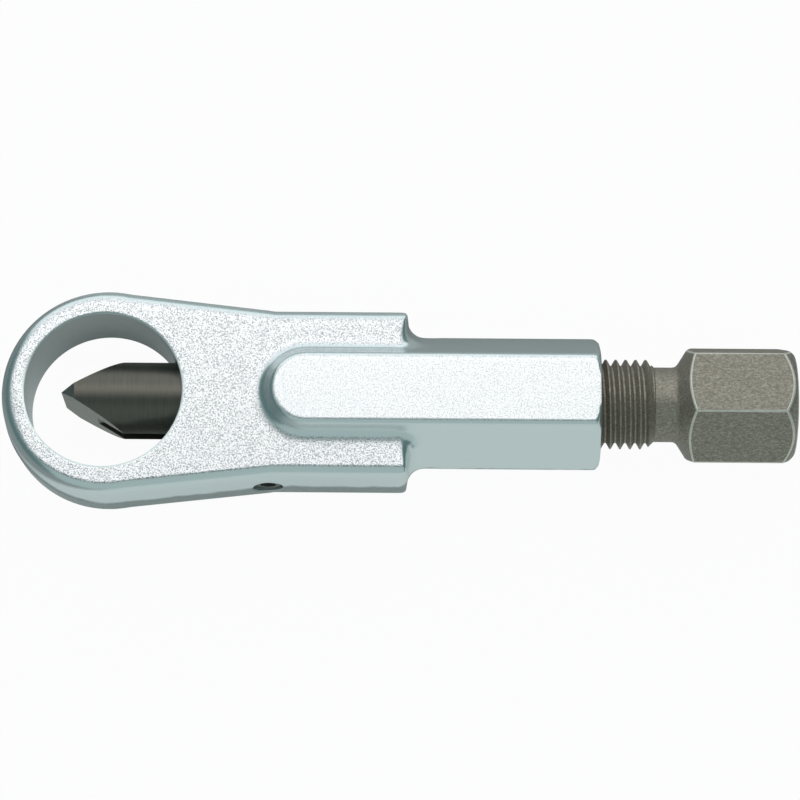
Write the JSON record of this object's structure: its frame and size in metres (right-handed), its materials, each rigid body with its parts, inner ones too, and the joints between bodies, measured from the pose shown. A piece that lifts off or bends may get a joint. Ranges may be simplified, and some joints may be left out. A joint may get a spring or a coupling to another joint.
{
  "type": "nut splitter",
  "caption": "Forged ring-ended nut splitter: a hex-headed screw spindle drives a keyed wedge chisel across the ring to crack a seized nut.",
  "frame": {"origin": "centre of the nut opening, on the axis of the chisel and the spindle", "axes": "+X along the tool towards the spindle's drive hexagon, +Z along the axis of the nut opening out of the front face"},
  "size_m": [0.0797, 0.0212, 0.012],
  "materials": {
    "zinc_plated_forging": "bright zinc plate over a fine shot-blasted forging",
    "black_screw_steel": "black oxide",
    "black_oxide_tool_steel": "black oxide, satin",
    "bearing_steel": "polished",
    "spring_wire": "drawn",
    "phosphated_steel": "matt grey-brown phosphate"
  },
  "bodies": {
    "body": {"forged_body": "zinc_plated_forging", "guide_screw": "black_screw_steel"},
    "chisel": {"chisel": "black_oxide_tool_steel", "thrust_ball": "bearing_steel", "retaining_ring": "spring_wire"},
    "spindle": {"pressure_spindle": "phosphated_steel"}
  },
  "joints": [
    {"name": "chisel_feed", "type": "slide", "parent": "body", "child": "chisel", "axis": [-1, 0, 0], "range_m": [-0.012, 0.0034]},
    {"name": "spindle_turn", "type": "hinge", "parent": "chisel", "child": "spindle", "pos_m": [0.03, 0, 0], "axis": [-1, 0, 0], "range_deg": [-4500, 1404]}
  ],
  "couplings": [
    {"joint": "spindle_turn", "follows": "chisel_feed", "rad_per_m": 6283.2}
  ]
}
